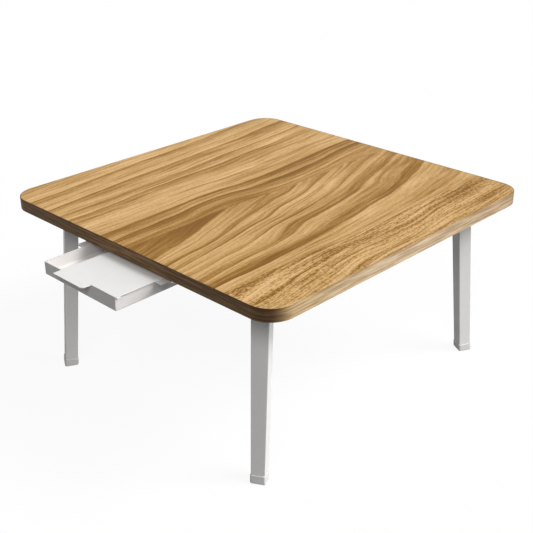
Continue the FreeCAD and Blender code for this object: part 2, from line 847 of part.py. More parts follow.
def screw_places():
    """Where the seat of every screw's head lies: those of the brackets, then those of the rails."""
    bracket_under = (underside - d["bracket_sheet"]).value
    rail_under = (underside - d["rail_sheet"]).value
    brackets = []
    for corner, (side_x, side_y) in CORNERS.items():
        seat = Vector(pivot_x.value * side_x, pivot_y.value * side_y, bracket_under)
        turn = Rotation(Vector(0, 0, 1), heading(corner))
        for x, y in bracket_screw_points():
            brackets.append(seat + turn.multVec(Vector(x.value, y.value, 0)))
    rails = []
    for side in (-1, 1):
        for x, y in rail_screw_points():
            rails.append(Vector(x.value * side, (rail_front + y).value, rail_under))
    return brackets, rails


def group_of_solids(label, shapes):
    """Separate like solids under one name."""
    group = doc.addObject("Part::Feature", label)
    group.Label = label
    group.Shape = Part.makeCompound(shapes)
    return group


def screw_set(label, blank, places):
    """Copies of the screw, one at each place."""
    shapes = []
    for spot in places:
        screw = blank.Shape.copy()
        screw.Placement = Placement(spot, Rotation())
        shapes.append(screw)
    return group_of_solids(label, shapes)


def pilot_holes(places):
    """Drill bits for the pilot holes, as deep in the top as the screws are long."""
    radius = (d["screw_radius"] + d["pilot_clearance"]).value
    start = (underside - d["top_thickness"] / 2).value
    height = (underside + d["screw_length"]).value - start
    bits = [Part.makeCylinder(radius, height, Vector(spot.x, spot.y, start)) for spot in places]
    return group_of_solids("pilot_holes", bits)


def build():
    """Every piece of the table, in a list."""
    bracket_places, rail_places = screw_places()
    blank = screw_blank()
    holes = pilot_holes(bracket_places + rail_places)
    skin = d["laminate_thickness"]
    backing = d["backing_thickness"]
    core_thickness = d["top_thickness"] - skin - backing
    core = slab("core_blank", d["band_thickness"], core_thickness, underside + backing)
    sheet = slab("backing_blank", d["band_thickness"], backing, underside)
    pieces = [
        drilled("tabletop_core", core, holes),
        slab("top_laminate", d["band_thickness"], skin, underside + backing + core_thickness),
        drilled("backing_sheet", sheet, holes),
        edge_band("edge_band"),
    ]
    for corner in CORNERS:
        for make in (leg_bracket, leaf_spring, hinge_pin, leg_tube, leg_knuckle, foot_cap):
            pieces.append(make(corner))
    pieces += [
        screw_set("bracket_screws", blank, bracket_places),
        drawer_rail("drawer_rail_left", -1),
        drawer_rail("drawer_rail_right", 1),
        screw_set("rail_screws", blank, rail_places),
        drawer_tray("drawer_tray"),
        drawer_lid("drawer_lid"),
    ]
    return pieces


def check(pieces):
    """Stop if anything in the document failed or a piece has no sound shape."""
    doc.recompute()
    for thing in doc.Objects:
        if "Invalid" in thing.State or "Error" in thing.State:
            raise RuntimeError(f"{thing.Label} failed: {thing.State}")
    for piece in pieces:
        if piece.Shape.isNull() or not piece.Shape.isValid():
            raise RuntimeError(f"{piece.Label} has no valid shape")


def write(pieces):
    """One file for each piece."""
    os.makedirs("parts", exist_ok=True)
    for piece in pieces:
        piece.Shape.exportStep(os.path.join("parts", piece.Label + ".step"))
        box = piece.Shape.BoundBox
        print(f"{piece.Label}: {len(piece.Shape.Solids)} solids, {piece.Shape.Volume:.1f} mm3, "
              f"x {box.XMin:.2f} {box.XMax:.2f}, y {box.YMin:.2f} {box.YMax:.2f}, "
              f"z {box.ZMin:.2f} {box.ZMax:.2f}")


table = build()
check(table)
write(table)
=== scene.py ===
"""Looks of a portable low table: a wood-grain top, white folding legs and a shallow pencil drawer.

Lengths are metres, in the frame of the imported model: +Z is up and the drawer opens towards -Y.
"""
import json
import math

import bmesh
import bpy
from mathutils import Matrix, Vector


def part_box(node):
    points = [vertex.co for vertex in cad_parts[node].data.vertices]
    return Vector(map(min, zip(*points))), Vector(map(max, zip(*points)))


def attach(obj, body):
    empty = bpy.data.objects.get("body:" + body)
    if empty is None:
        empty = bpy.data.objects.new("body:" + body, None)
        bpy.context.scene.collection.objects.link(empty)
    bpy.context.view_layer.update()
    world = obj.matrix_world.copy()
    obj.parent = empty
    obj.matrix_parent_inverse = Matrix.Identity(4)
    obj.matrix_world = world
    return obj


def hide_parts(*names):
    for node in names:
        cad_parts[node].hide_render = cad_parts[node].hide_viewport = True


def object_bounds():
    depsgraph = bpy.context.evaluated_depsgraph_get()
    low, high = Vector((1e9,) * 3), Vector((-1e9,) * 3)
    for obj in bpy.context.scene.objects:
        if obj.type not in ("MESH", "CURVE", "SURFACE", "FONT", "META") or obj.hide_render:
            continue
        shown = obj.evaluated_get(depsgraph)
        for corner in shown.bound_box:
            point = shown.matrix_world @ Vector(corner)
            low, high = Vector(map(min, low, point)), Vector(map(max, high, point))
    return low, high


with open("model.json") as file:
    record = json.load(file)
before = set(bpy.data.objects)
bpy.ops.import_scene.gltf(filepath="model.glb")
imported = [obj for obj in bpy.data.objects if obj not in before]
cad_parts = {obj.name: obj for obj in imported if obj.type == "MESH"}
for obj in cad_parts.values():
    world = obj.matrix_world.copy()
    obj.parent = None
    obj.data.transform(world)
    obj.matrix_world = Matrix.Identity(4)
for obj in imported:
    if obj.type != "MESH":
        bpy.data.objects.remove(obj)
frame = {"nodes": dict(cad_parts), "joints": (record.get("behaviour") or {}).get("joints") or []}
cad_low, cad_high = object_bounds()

MM = 0.001

# Table top
CORNER_RADIUS = 40 * MM
CORNER_STEPS = 20
BAND_THICKNESS = 1.2 * MM
BAND_EDGE_RADIUS = 0.5 * MM
BAND_EDGE_STEPS = 3

# Leg tubes, from the hinge's pivot: sizes the way the leg folds (depth) and across it (width)
LEG_HEAD_RISE = 14 * MM
LEG_HEAD_DEPTH = 22.6 * MM
LEG_HEAD_WIDTH = 27.4 * MM
LEG_FOOT_DEPTH = 21.4 * MM
LEG_FOOT_WIDTH = 21.8 * MM
LEG_WALL = 1 * MM
LEG_CORNER_RADIUS = LEG_WALL + 0.2 * MM
LEG_CORNER_STEPS = 5
CUTTER_OVERRUN = 2 * MM
RUNNING_CLEARANCE = 0.3 * MM
SLOT_MARGIN = 3 * MM
PIN_BORE_RADIUS = 3.05 * MM

# Foot caps
CAP_FLOOR = 4.5 * MM
CAP_GRIP = 9 * MM
CAP_WALL = 1 * MM
CAP_SEAT = 0.15 * MM
CAP_EDGE_RADIUS = 2.4 * MM
CAP_EDGE_STEPS = 6
CAP_CORNER_RADIUS = CAP_EDGE_RADIUS + 0.6 * MM
CAP_RIM_RADIUS = 0.5 * MM
CAP_RIM_STEPS = 3

# Hinge pins; the crown of a head goes by shares of its radius and drops from its top
PIN_RADIUS = 3 * MM
PIN_HEAD_RADIUS = 5 * MM
PIN_HEAD_HEIGHT = 1.4 * MM
PIN_CROWN = ((0.0, 0.0), (0.45, 0.06 * MM), (0.75, 0.32 * MM), (0.93, 0.8 * MM))
PIN_SIDES = 28

# Wood screws
SCREW_RADIUS = 1.75 * MM
SCREW_LENGTH = 14 * MM
SCREW_POINT = 3 * MM
SCREW_HEAD_RADIUS = 3.8 * MM
SCREW_HEAD_HEIGHT = 2.2 * MM
SCREW_DOME = 0.8 * MM
SCREW_OVERLAP = 0.1 * MM
SCREW_SIDES = 20
RECESS_LENGTH = 4.2 * MM
RECESS_WIDTH = 0.9 * MM
RECESS_DEPTH = 1.3 * MM
SCREW_GAP = 2.5 * SCREW_HEAD_RADIUS
SCREW_SEED = 7

# Broken edges: the width of each and its number of facets
TRAY_EDGE = (0.45 * MM, 2)
LID_EDGE = (0.35 * MM, 2)
RAIL_EDGE = (0.25 * MM, 2)
BRACKET_EDGE = (0.2 * MM, 2)
SPRING_EDGE = (0.12 * MM, 1)
KNUCKLE_EDGE = (0.3 * MM, 2)

# Angles up to which faces count as one flat, look smooth together, and keep the edge between them
FLAT_ANGLE = math.radians(0.4)
SMOOTH_ANGLE = math.radians(32)
BROKEN_ANGLE = math.radians(50)

SAME_POINT = 2e-6
NODE_SPACING = 200


class Wiring:
    """A node tree while it is put together: add() makes a node and connects its inputs."""

    def __init__(self, tree):
        self.tree = tree

    def add(self, kind, inputs=None, **settings):
        node = self.tree.nodes.new(kind)
        node.location = (NODE_SPACING * len(self.tree.nodes), 0)
        for name, value in settings.items():
            setattr(node, name, value)
        for key, value in (inputs or {}).items():
            self.feed(node.inputs[key], value)
        return node

    def feed(self, socket, value):
        if isinstance(value, bpy.types.Node):
            value = value.outputs[0]
        if isinstance(value, bpy.types.NodeSocket):
            self.tree.links.new(value, socket)
        else:
            socket.default_value = value

    def math(self, operation, first, second=0.0):
        return self.add("ShaderNodeMath", {0: first, 1: second}, operation=operation).outputs[0]

    def plus(self, first, second):
        return self.math("ADD", first, second)

    def minus(self, first, second):
        return self.math("SUBTRACT", first, second)

    def times(self, first, second):
        return self.math("MULTIPLY", first, second)

    def over(self, first, second):
        return self.math("DIVIDE", first, second)

    def vector(self, x=0.0, y=0.0, z=0.0):
        return self.add("ShaderNodeCombineXYZ", {0: x, 1: y, 2: z}).outputs[0]

    def axes(self, vector):
        return self.add("ShaderNodeSeparateXYZ", {0: vector}).outputs

    def step(self, value, low, high):
        """0 below low, 1 above high and a smooth rise between."""
        names = {"Value": value, "From Min": low, "From Max": high}
        return self.add("ShaderNodeMapRange", names, interpolation_type="SMOOTHSTEP").outputs[0]

    def spread(self, value, low, high):
        """A value from 0 to 1 spread from low to high."""
        return self.add("ShaderNodeMapRange", {"Value": value, "To Min": low, "To Max": high}).outputs[0]

    def scaled(self, vector, scale):
        return self.add("ShaderNodeVectorMath", {0: vector, 1: scale}, operation="MULTIPLY").outputs[0]

    def noise(self, vector, detail=2.0, roughness=0.5):
        """Soft random values from 0 to 1, about one swell to each unit of the vector."""
        inputs = {"Vector": vector, "Scale": 1.0, "Detail": detail, "Roughness": roughness}
        return self.add("ShaderNodeTexNoise", inputs).outputs[0]

    def mix(self, share, first, second):
        """A colour between two, by a share from 0 to 1."""
        node = self.add("ShaderNodeMix", data_type="RGBA")
        self.feed(node.inputs[0], share)
        self.feed(node.inputs[6], first)
        self.feed(node.inputs[7], second)
        return node.outputs[2]

    def curve(self, value, points):
        """A smooth line through points, from 0 to 1 both ways."""
        node = self.add("ShaderNodeFloatCurve", {"Value": value})
        line = node.mapping.curves[0].points
        while len(line) < len(points):
            line.new(0.5, 0.5)
        for mark, place in zip(line, points):
            mark.location = place
        node.mapping.update()
        return node.outputs[0]

    def ramp(self, value, stops):
        """A colour chart: pairs of a place from 0 to 1 and a colour."""
        node = self.add("ShaderNodeValToRGB", {0: value})
        elements = node.color_ramp.elements
        while len(elements) < len(stops):
            elements.new(1.0)
        for element, (place, colour) in zip(elements, stops):
            element.position = place
            element.color = colour
        return node.outputs[0]


def srgb(red, green, blue):
    """A colour as picked on a screen, 0 to 255, as the linear colour that shaders use."""
    def linear(value):
        share = value / 255
        return share / 12.92 if share <= 0.04045 else ((share + 0.055) / 1.055) ** 2.4
    return (linear(red), linear(green), linear(blue), 1.0)


def grey(value):
    """A neutral linear colour."""
    return (value, value, value, 1.0)


def new_tree(name, kind, inputs, outputs):
    """A node tree with named sockets, and the wiring of its inside."""
    tree = bpy.data.node_groups.new(name, kind)
    for socket, (socket_type, default) in inputs.items():
        made = tree.interface.new_socket(name=socket, in_out="INPUT", socket_type=socket_type)
        if default is not None:
            made.default_value = default
    for socket, socket_type in outputs.items():
        tree.interface.new_socket(name=socket, in_out="OUTPUT", socket_type=socket_type)
    return tree, Wiring(tree)


FLOAT = "NodeSocketFloat"
VECTOR = "NodeSocketVector"
GEOMETRY = "NodeSocketGeometry"


# Shader groups that several finishes share, and the swells to the metre of what is in them
MARK_SCALE = (35.0, 35.0, 35.0)
RUB_SCALE = (260.0, 60.0, 260.0)
CLOUD_SCALE = (130.0, 130.0, 130.0)


def fibre_group():
    """Fine streaks along a grain: how dark each fibre is, and where the open pores are."""
    inputs = {"Place": (VECTOR, None), "Fibre": (VECTOR, (900.0, 45.0, 900.0))}
    tree, t = new_tree("wood fibre", "ShaderNodeTree", inputs, {"Streak": FLOAT, "Pore": FLOAT})
    given = t.add("NodeGroupInput")
    fine = t.add("ShaderNodeVectorMath", {0: given.outputs["Place"], 1: given.outputs["Fibre"]},
                 operation="MULTIPLY").outputs[0]
    broad = t.scaled(fine, (0.24, 0.3, 0.24))
    streak = t.plus(t.times(t.noise(fine, 3.0, 0.6), 0.55), t.times(t.noise(broad, 2.0), 0.45))
    dashes = t.noise(t.scaled(fine, (0.8, 1.9, 0.8)), 1.0)
    made = t.add("NodeGroupOutput")
    t.feed(made.inputs["Streak"], t.step(streak, 0.3, 0.7))
    t.feed(made.inputs["Pore"], t.step(dashes, 0.63, 0.76))
    return tree


def skin_group():
    """The skin of paint or moulded plastic: a low ripple, and faint marks from handling."""
    inputs = {"Place": (VECTOR, None), "Ripple": (FLOAT, 700.0)}
    tree, t = new_tree("coated skin", "ShaderNodeTree", inputs, {"Height": FLOAT, "Marks": FLOAT})
    given = t.add("NodeGroupInput")
    place = given.outputs["Place"]
    fine = t.add("ShaderNodeVectorMath", {0: place, 3: given.outputs["Ripple"]}, operation="SCALE")
    marks = t.plus(t.times(t.noise(t.scaled(place, MARK_SCALE), 3.0, 0.6), 0.7),
                   t.times(t.noise(t.scaled(place, RUB_SCALE), 2.0), 0.3))
    made = t.add("NodeGroupOutput")
    t.feed(made.inputs["Height"], t.noise(fine, 2.0, 0.55))
    t.feed(made.inputs["Marks"], t.step(marks, 0.32, 0.68))
    return tree


def metal_group():
    """Rolled and plated sheet: fine rolling lines, and a cloudy plating."""
    inputs = {"Place": (VECTOR, None), "Lines": (VECTOR, (1500.0, 120.0, 1500.0))}
    tree, t = new_tree("plated sheet", "ShaderNodeTree", inputs, {"Lines": FLOAT, "Cloud": FLOAT})
    given = t.add("NodeGroupInput")
    place = given.outputs["Place"]
    fine = t.add("ShaderNodeVectorMath", {0: place, 1: given.outputs["Lines"]}, operation="MULTIPLY")
    made = t.add("NodeGroupOutput")
    t.feed(made.inputs["Lines"], t.noise(fine, 2.0, 0.6))
    t.feed(made.inputs["Cloud"], t.step(t.noise(t.scaled(place, CLOUD_SCALE), 4.0, 0.6), 0.3, 0.7))
    return tree


FIBRE = fibre_group()
SKIN = skin_group()
METAL = metal_group()


# Finishes


def new_finish(name):
    """A material with one principled shader, its wiring and its object coordinates."""
    material = bpy.data.materials.new(name)
    material.use_nodes = True
    material.node_tree.nodes.clear()
    t = Wiring(material.node_tree)
    shader = t.add("ShaderNodeBsdfPrincipled")
    t.add("ShaderNodeOutputMaterial", {"Surface": shader})
    place = t.add("ShaderNodeTexCoord").outputs["Object"]
    return material, t, shader.inputs, place


def use_group(t, group, **inputs):
    """A shared group placed in a finish with its own values."""
    node = t.add("ShaderNodeGroup", node_tree=group)
    for name, value in inputs.items():
        t.feed(node.inputs[name], value)
    return node.outputs


def bump(t, height, strength, distance):
    """A normal from a height, raised by a real distance."""
    inputs = {"Height": height, "Strength": strength, "Distance": distance}
    return t.add("ShaderNodeBump", inputs).outputs[0]


# Growth rings of the top's figure: how far each ring's late wood ends from the pith line, in millimetres,
# how dark it starts and how dark it gets. The rings lean, so they end in points along the pith line.
PITH_X = 9 * MM
PITH_ROUNDING = 3 * MM
RIGHT_RINGS = ((-80, 0.0, 0.75), (-27, 0.68, 0.95), (-18, 0.0, 0.35), (-8, 0.0, 0.45), (2, 0.0, 0.5),
               (20, 0.1, 0.8), (47, 0.0, 0.65), (67, 0.0, 0.4), (87, 0.0, 0.65), (122, 0.0, 0.8),
               (162, 0.1, 0.95), (206, 0.0, 0.35), (250, 0.0, 0.4), (340, 0.0, 0.4))
LEFT_RINGS = ((20, 0.0, 0.5), (46, 0.0, 1.0), (72, 0.0, 0.85), (110, 0.0, 0.3), (165, 0.0, 0.6),
              (189, 0.0, 0.7), (231, 0.0, 0.8), (252, 0.0, 0.4), (282, 0.0, 0.75), (340, 0.0, 0.6))
RIGHT_SPAN = (-190, 345)
LEFT_SPAN = (-30, 345)
RING_EDGE = 0.8
RING_CONTRAST = 1.35
LEFT_LEAN = -0.02
FAR_LEFT_LEAN = -0.10
RIGHT_LEAN = 0.30
FAR_RIGHT_LEAN = 0.07
YEAR_WIDTH = 10.5 * MM
YEAR_WANDER = 2.5
YEAR_DARK = 0.22

# The pith line's own bend, as shares of its length from the drawer's side and of the widest swing
PITH_BEND = ((0.0, 0.5), (0.2, 0.5), (0.35, 0.25), (0.55, 0.7), (0.75, 0.55), (0.9, 0.2), (1.0, 0.1))
PITH_SWING = 30 * MM
BOARD_SIDE = 600 * MM
LEFT_WANDER = 12 * MM
RIGHT_WANDER = 34 * MM
RIPPLE = 6 * MM

# Soft changes over the board, from where each starts to where it is complete; the heart's goes by the
# distance from its own middle
RIGHT_HALF = (-60 * MM, 30 * MM)
BENT_PART = (-200 * MM, -30 * MM)
LEFT_LEAN_CHANGE = (-60 * MM, -260 * MM)
RIGHT_LEAN_CHANGE = (30 * MM, 220 * MM)
PITH_SEAM = (-2.5 * MM, 2.5 * MM)
HEART_MIDDLE = -30 * MM
HEART_EDGE = (70 * MM, 25 * MM)
FLANK_EDGE = (202 * MM, 210 * MM)
FLANK_FADE = (206 * MM, 290 * MM)
FAR_RIGHT = (20 * MM, 160 * MM)
FAR_BACK = (20 * MM, 230 * MM)

# Swells to the metre of each trait of the wood, across and along the grain
WANDER_SCALE = (12.0, 4.2, 0.0)
RIPPLE_SCALE = (45.0, 14.0, 0.0)
YEAR_SCALE = (16.0, 4.0, 0.0)
LINE_SCALE = (190.0, 6.0, 0.0)
HAIR_SCALE = (46.0, 1.4, 0.0)
SPECK_SCALE = (520.0, 130.0, 0.0)
FIBRE_SCALE = (520.0, 28.0, 0.0)
PATCH_SCALE = (15.0, 3.2, 0.0)
CURL_SCALE = (150.0, 380.0, 0.0)
GRAIN_SCALE = (430.0, 170.0, 0.0)

# The wood's colours, from early to late wood, and how strongly its lacquer shines
WOOD_COLOURS = (
    (0.0, srgb(226, 185, 130)), (0.19, srgb(204, 163, 104)), (0.38, srgb(181, 139, 78)),
    (0.56, srgb(157, 114, 48)), (0.75, srgb(137, 93, 16)), (1.0, srgb(122, 79, 4)),
)
WOOD_SHINE = 0.16

# Edge strip: swells to the metre of its streaks, where it turns beige and then dull from the drawer's side,
# how far under its top edge it darkens, its dark and pale colours, and its shine
STRIP_FIBRE_SCALE = (26.0, 26.0, 700.0)
STRIP_STREAK_SCALE = (16.0, 16.0, 330.0)
STRIP_BEIGE = (-300 * MM, -60 * MM)
STRIP_DULL = (0.0, 260 * MM)
STRIP_TOP_SHADE = (3.5 * MM, 1.0 * MM)
STRIP_BROWNS = (srgb(150, 121, 82), srgb(228, 200, 156))
STRIP_BEIGES = (srgb(163, 136, 104), srgb(232, 208, 174))
# Darker browns on the sides towards the drawer and the back, as painted shade
STRIP_SHADE_BROWNS = (srgb(76, 54, 32), srgb(150, 119, 84))
STRIP_SHINE = 0.15

# Hidden board's chips, with their dark and pale colours, and the shine of paint and plastic
CHIP_SCALE = (420.0, 420.0, 900.0)
CHIP_BROWNS = (srgb(150, 116, 78), srgb(205, 172, 128))
COAT_SHINE = 0.22


def ring_stops(rings, span):
    """Chart of late wood: each ring darkens slowly up to its edge, where the next one starts."""
    low, high = span
    stops = []
    last = low
    for edge, start, dark in rings:
        stops.append(((last + RING_EDGE - low) / (high - low), grey(start)))
        stops.append(((edge - RING_EDGE - low) / (high - low), grey(dark)))
        last = edge
    return stops


def ring_figure(t, place):
    """The board's figure: what one_side gives for both sides of the pith, and the way out from it."""
    x, y, _ = t.axes(place)
    wander = t.minus(t.noise(t.scaled(place, WANDER_SCALE), 1.0), 0.5)
    wander = t.times(wander, t.spread(t.step(x, *RIGHT_HALF), LEFT_WANDER, RIGHT_WANDER))
    ripple = t.times(t.minus(t.noise(t.scaled(place, RIPPLE_SCALE), 2.0), 0.5), RIPPLE)
    straight = t.plus(t.minus(x, PITH_X), t.plus(wander, ripple))
    swing = t.curve(t.plus(t.over(y, BOARD_SIDE), 0.5), PITH_BEND)
    followed = t.spread(t.step(straight, *BENT_PART), 0.2, 1.0)
    bent = t.minus(straight, t.times(t.times(t.minus(swing, 0.5), PITH_SWING), followed))
    left_lean = t.spread(t.step(straight, *LEFT_LEAN_CHANGE), LEFT_LEAN, FAR_LEFT_LEAN)
    right_lean = t.spread(t.step(straight, *RIGHT_LEAN_CHANGE), RIGHT_LEAN, FAR_RIGHT_LEAN)
    left_side = one_side(t, y, bent, left_lean, LEFT_RINGS, LEFT_SPAN)
    right_side = one_side(t, y, straight, right_lean, RIGHT_RINGS, RIGHT_SPAN)
    side = t.step(straight, *PITH_SEAM)
    both = [t.plus(t.times(left, t.minus(1.0, side)), t.times(right, side))
            for left, right in zip(left_side, right_side)]
    return both + [straight]


def one_side(t, y, out, lean, rings, span):
    """Late wood, soft and hair lines, specks, fibres and pores along the rings on one side of the pith."""
    reach = t.math("SQRT", t.plus(t.times(out, out), PITH_ROUNDING ** 2))
    radius = t.plus(reach, t.times(y, lean))
    low, high = span
    share = t.over(t.minus(radius, low * MM), (high - low) * MM)
    late = t.math("POWER", t.ramp(share, ring_stops(rings, span)), RING_CONTRAST)
    board = t.vector(radius, y)
    drift = t.times(t.noise(t.scaled(board, YEAR_SCALE), 2.0), YEAR_WANDER)
    year = t.math("FRACT", t.plus(t.over(radius, YEAR_WIDTH), drift))
    late = t.plus(late, t.times(t.times(year, year), YEAR_DARK))
    lines = t.minus(t.noise(t.scaled(board, LINE_SCALE), 3.0, 0.62), 0.5)
    hair = t.minus(t.noise(t.scaled(board, HAIR_SCALE), 2.0), 0.5)
    hair = t.step(t.math("ABSOLUTE", hair), 0.025, 0.0)
    speck = t.plus(t.noise(t.scaled(board, SPECK_SCALE), 2.0, 0.6), t.times(lines, 0.8))
    speck = t.step(speck, 0.49, 0.62)
    fibre = use_group(t, FIBRE, Place=board, Fibre=FIBRE_SCALE)
    return [late, lines, hair, speck, fibre["Streak"], fibre["Pore"]]


def laminate_finish():
    """Wood-grain laminate: cathedral figure, fibres, pores and a satin lacquer."""
    material, t, shader, place = new_finish("wood_grain_laminate")
    late, lines, hair, speck, streak, pore, out = ring_figure(t, place)
    x, y, _ = t.axes(place)
    patch = t.minus(t.noise(t.scaled(place, PATCH_SCALE), 3.0, 0.55), 0.5)
    curl = t.minus(t.noise(t.scaled(place, CURL_SCALE), 2.0), 0.5)
    grain = t.minus(t.noise(t.scaled(place, GRAIN_SCALE), 3.0, 0.6), 0.5)
    heart = t.step(t.math("ABSOLUTE", t.minus(out, HEART_MIDDLE)), *HEART_EDGE)
    flank = t.step(out, *FLANK_EDGE)
    rough = t.times(flank, t.spread(t.step(out, *FLANK_FADE), 1.0, 0.45))
    far_right = t.times(t.step(x, *FAR_RIGHT), t.step(y, *FAR_BACK))
    dark = t.plus(t.times(late, t.plus(t.times(patch, 1.3), 0.86)), 0.12)
    # Each trait, how much it darkens the wood, and how much more on the flank
    traits = (
        (patch, 0.5, 0.0), (heart, 0.22, 0.0), (lines, 0.7, 1.1), (hair, 0.24, 0.0),
        (t.minus(streak, 0.5), 0.34, 0.0), (curl, 0.2, 0.5), (grain, 0.6, 0.6),
        (t.times(rough, speck), 0.62, 0.0), (far_right, 0.13, 0.0), (pore, 0.16, 0.0),
    )
    for trait, share, more in traits:
        weight = t.plus(t.times(flank, more), share) if more else share
        dark = t.plus(dark, t.times(trait, weight))
    t.feed(shader["Base Color"], t.ramp(t.times(dark, 0.75), WOOD_COLOURS))
    t.feed(shader["Roughness"], t.spread(streak, 0.46, 0.58))
    t.feed(shader["Normal"], bump(t, t.minus(streak, pore), 0.25, 0.05 * MM))
    shader["Specular IOR Level"].default_value = WOOD_SHINE
    return material


def band_finish():
    """Edge strip: streaks along it, painted shade on its sides towards the drawer and the back and round
    its corners, and darker along its top.
    """
    material, t, shader, place = new_finish("wood_grain_band")
    fibre = use_group(t, FIBRE, Place=place, Fibre=STRIP_FIBRE_SCALE)
    x, y, z = t.axes(place)
    # The way the strip faces, by how far a place is past the straight part of each side
    turn_x, turn_y = [
        t.math("MAXIMUM", t.minus(t.math("ABSOLUTE", across), half - CORNER_RADIUS), 0.0)
        for across, half in ((x, cad_high.x), (y, cad_high.y))]
    square = t.plus(t.times(turn_x, turn_x), t.times(turn_y, turn_y))
    # Painted shade: the sides towards the drawer and the back take the darker browns
    painted_shade_sides = t.step(t.over(turn_y, t.math("SQRT", square)), 0.1, 0.75)
    # Painted shade: each rounded corner is darkened, most halfway round
    painted_corner_shade = t.times(t.over(t.times(turn_x, turn_y), square), 2.0)
    wide = t.noise(t.scaled(place, STRIP_STREAK_SCALE), 3.0, 0.6)
    top_shade = [cad_high.z - drop for drop in STRIP_TOP_SHADE]
    tone = t.plus(t.times(fibre["Streak"], 0.35), t.times(t.step(wide, 0.34, 0.66), 0.65))
    tone = t.minus(tone, t.times(painted_corner_shade, 0.55))
    tone = t.minus(tone, t.times(t.step(y, *STRIP_DULL), 0.28))
    tone = t.minus(tone, t.times(t.step(z, *top_shade), 0.35))
    along = t.mix(t.step(y, *STRIP_BEIGE), t.mix(tone, *STRIP_BROWNS), t.mix(tone, *STRIP_BEIGES))
    t.feed(shader["Base Color"], t.mix(painted_shade_sides, along, t.mix(tone, *STRIP_SHADE_BROWNS)))
    t.feed(shader["Roughness"], t.spread(tone, 0.5, 0.62))
    t.feed(shader["Normal"], bump(t, fibre["Streak"], 0.2, 0.05 * MM))
    shader["Specular IOR Level"].default_value = STRIP_SHINE
    return material


def fibreboard_finish():
    """Pressed wood fibre."""
    material, t, shader, place = new_finish("fibreboard")
    chips = t.noise(t.scaled(place, CHIP_SCALE), 4.0, 0.65)
    t.feed(shader["Base Color"], t.mix(t.step(chips, 0.3, 0.7), *CHIP_BROWNS))
    t.feed(shader["Normal"], bump(t, chips, 0.4, 0.1 * MM))
    shader["Roughness"].default_value = 0.85
    return material


def coated_finish(name, pale, worn, ripple, ripple_depth, smooth, rough):
    """Paint or moulded plastic: nearly one colour, a low ripple, and a gloss that handling has dulled."""
    material, t, shader, place = new_finish(name)
    skin = use_group(t, SKIN, Place=place, Ripple=ripple)
    t.feed(shader["Base Color"], t.mix(skin["Marks"], pale, worn))
    t.feed(shader["Roughness"], t.spread(skin["Marks"], smooth, rough))
    t.feed(shader["Normal"], bump(t, skin["Height"], 0.35, ripple_depth))
    shader["Specular IOR Level"].default_value = COAT_SHINE
    return material


def steel_finish(name, light, dull, lines, smooth, rough):
    """Steel with rolling lines and a cloudy plating."""
    material, t, shader, place = new_finish(name)
    metal = use_group(t, METAL, Place=place, Lines=lines)
    t.feed(shader["Base Color"], t.mix(metal["Cloud"], light, dull))
    t.feed(shader["Roughness"], t.spread(metal["Cloud"], smooth, rough))
    t.feed(shader["Normal"], bump(t, metal["Lines"], 0.15, 0.02 * MM))
    shader["Metallic"].default_value = 1.0
    return material


# Paints and plastics: colour fresh and handled, ripples to the metre and their depth, roughness likewise
COATS = {
    "white_backing": (srgb(235, 233, 228), srgb(230, 228, 222), 380.0, 0.06 * MM, 0.55, 0.7),
    "white_paint": (srgb(236, 234, 233), srgb(233, 231, 229), 620.0, 0.07 * MM, 0.34, 0.46),
    "pale_plastic": (srgb(231, 230, 229), srgb(226, 225, 223), 900.0, 0.05 * MM, 0.42, 0.55),
    # The tray's copy of the white plastic is a little darker and warmer than the lid's, as painted shade on
    # its walls
    "tray_plastic_painted_shade": (srgb(229, 226, 224), srgb(225, 221, 218), 1100.0, 0.04 * MM, 0.38, 0.52),
    "white_plastic": (srgb(236, 235, 233), srgb(233, 232, 230), 1100.0, 0.04 * MM, 0.38, 0.52),
    "grey_nylon": (srgb(176, 176, 174), srgb(160, 160, 158), 1000.0, 0.05 * MM, 0.5, 0.62),
}

# Steels: bright and dull colour, rolling lines to the metre along each axis, bright and dull roughness
STEELS = {
    "plated_steel": (srgb(205, 206, 206), srgb(192, 192, 188), (260.0, 260.0, 1500.0), 0.26, 0.40),
    "spring_steel": (srgb(150, 152, 160), srgb(118, 122, 134), (240.0, 240.0, 1800.0), 0.22, 0.36),
    "bright_steel": (grey(0.78), srgb(206, 206, 210), (900.0, 900.0, 900.0), 0.2, 0.34),
}

FINISHES = {
    "wood_grain_laminate": laminate_finish(),
    "wood_grain_band": band_finish(),
    "fibreboard": fibreboard_finish(),
}
FINISHES.update({name: coated_finish(name, *look) for name, look in COATS.items()})
FINISHES.update({name: steel_finish(name, *look) for name, look in STEELS.items()})


# Meshes


def new_piece(name, mesh, body, slot, nodes, finish=None):
    """A piece of the object in place of its plain solids, riding on their body."""
    mesh.materials.clear()
    mesh.materials.append(FINISHES[finish or slot])
    piece = bpy.data.objects.new(name, mesh)
    bpy.context.scene.collection.objects.link(piece)
    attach(piece, body)
    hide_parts(*nodes)


def carrier_of(mesh):
    """An object that holds a mesh while modifiers work on it."""
    carrier = bpy.data.objects.new("carrier", mesh)
    bpy.context.scene.collection.objects.link(carrier)
    return carrier


def taken_mesh(carrier):
    """The plain mesh that a carrier's modifiers make; the carrier goes."""
    mesh = bpy.data.meshes.new_from_object(carrier.evaluated_get(bpy.context.evaluated_depsgraph_get()))
    carrier.modifiers.clear()
    bpy.data.objects.remove(carrier)
    return mesh


def shaded(mesh):
    """Round faces shaded smooth; each face counts by its size, so that flat ones beside them stay flat."""
    mesh.shade_smooth()
    mesh.set_sharp_from_angle(angle=SMOOTH_ANGLE)
    carrier = carrier_of(mesh)
    carrier.modifiers.new("weighed", "WEIGHTED_NORMAL").keep_sharp = True
    return taken_mesh(carrier)


def sound_mesh(mesh):
    """Merge doubles, point the faces outwards and shade round faces smooth."""
    work = bmesh.new()
    work.from_mesh(mesh)
    bmesh.ops.remove_doubles(work, verts=work.verts, dist=SAME_POINT)
    bmesh.ops.recalc_face_normals(work, faces=work.faces)
    work.to_mesh(mesh)
    work.free()
    return shaded(mesh)


